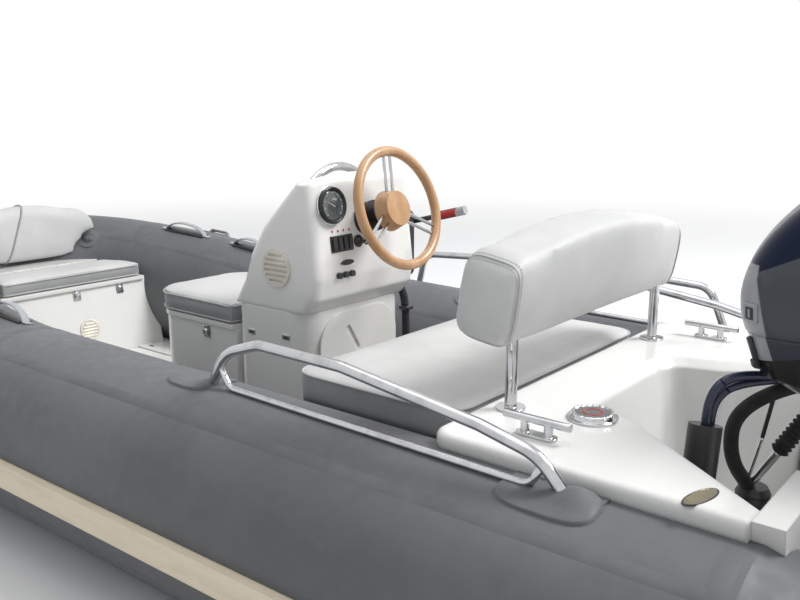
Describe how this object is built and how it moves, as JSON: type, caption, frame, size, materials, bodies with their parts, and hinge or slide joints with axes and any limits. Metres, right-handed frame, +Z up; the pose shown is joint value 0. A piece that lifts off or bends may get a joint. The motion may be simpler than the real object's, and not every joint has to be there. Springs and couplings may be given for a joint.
{
  "type": "inflatable rib boat",
  "caption": "Grey inflatable rib boat with white moulded hull, console with steering wheel, cushioned seats, grab rails and a tilting, steering outboard engine.",
  "frame": {"origin": "on the waterline amidships, on the centreline", "axes": "+X towards the bow, +Y to port, +Z up"},
  "size_m": [4.2847, 1.8724, 1.5111],
  "materials": {
    "black_plastic": "black plastic",
    "cream_plastic": "cream plastic",
    "engine_grey": "satin grey paint",
    "engine_navy": "glossy navy paint",
    "gelcoat": "glossy white gelcoat",
    "handle_rubber": "light grey moulded rubber",
    "rim_leather": "tan leather",
    "stainless": "polished stainless steel",
    "strake_rubber": "satin moulded rubber",
    "tube_fabric": "matte coated fabric",
    "vinyl": "light grey marine vinyl"
  },
  "bodies": {
    "boat": {"aft_deck": "gelcoat", "backrest_pad": "vinyl", "backrest_posts": "stainless", "bench_cushion": "vinyl", "bench_locker": "gelcoat", "bow_eye": "stainless", "bow_locker": "gelcoat", "bow_pad": "vinyl", "clamp_bracket": "engine_grey", "cleats": "stainless", "cockpit_floor": "gelcoat", "console_base": "gelcoat", "console_hatch": "gelcoat", "console_hoop": "stainless", "console_top": "gelcoat", "fuel_filler": "stainless", "gauge": "black_plastic", "grab_rails": "stainless", "helm_bezel": "black_plastic", "hull": "gelcoat", "latches": "stainless", "lid_hinges": "stainless", "rail_pads": "tube_fabric", "remote_box": "black_plastic", "rigging_hoses": "black_plastic", "rigging_sleeve": "black_plastic", "rub_strakes": "strake_rubber", "seat_pod": "gelcoat", "side_hoop": "stainless", "stern_eyes": "stainless", "switch_panel": "black_plastic", "throttle_lever": "black_plastic", "tilt_tube": "stainless", "transom": "gelcoat", "tube_bows": "tube_fabric", "tube_cones": "tube_fabric", "tube_handles": "handle_rubber", "tube_sides": "tube_fabric", "vent_louvre": "cream_plastic", "well_boot": "black_plastic"},
    "helm": {"wheel_rim": "rim_leather", "wheel_hub": "rim_leather", "wheel_spokes": "stainless", "wheel_shaft": "black_plastic"},
    "bow_lid": {"bow_locker_lid": "gelcoat", "bow_cushion": "vinyl"},
    "pod_lid": {"seat_lid": "gelcoat", "front_cushion": "vinyl"},
    "tilt_bracket": {"swivel_bracket": "engine_grey"},
    "engine": {"midsection": "engine_grey", "lower_unit": "engine_grey", "cowl_lower": "engine_grey", "cowl_upper": "engine_navy", "powerhead": "engine_grey"},
    "prop": {"propeller": "engine_grey"}
  },
  "joints": [
    {"name": "engine_tilt", "type": "hinge", "parent": "boat", "child": "tilt_bracket", "pos_m": [-1.68, 0, 0.35], "axis": [0, 1, 0], "range_deg": [0, 30], "deforming": ["rigging_hoses"]},
    {"name": "engine_steer", "type": "hinge", "parent": "tilt_bracket", "child": "engine", "pos_m": [-1.802, 0, 0.2], "axis": [0, 0, 1], "range_deg": [-30, 30], "deforming": ["rigging_hoses"]},
    {"name": "propeller_spin", "type": "hinge", "parent": "engine", "child": "prop", "pos_m": [-2.1, 0, -0.377], "axis": [1, 0, 0], "continuous": true},
    {"name": "wheel_turn", "type": "hinge", "parent": "boat", "child": "helm", "pos_m": [-0.5, 0, 0.85], "axis": [-0.9563, 0, 0.2924], "range_deg": [-540, 540]},
    {"name": "bow_lid_hinge", "type": "hinge", "parent": "boat", "child": "bow_lid", "pos_m": [1.43, 0, 0.45], "axis": [0, 1, 0], "range_deg": [0, 75]},
    {"name": "pod_lid_hinge", "type": "hinge", "parent": "boat", "child": "pod_lid", "pos_m": [0.1785, -0.213, 0.4704], "axis": [1, 0, 0], "range_deg": [0, 95]}
  ],
  "couplings": [
    {"joint": "wheel_turn", "follows": "engine_steer", "ratio": -18}
  ]
}
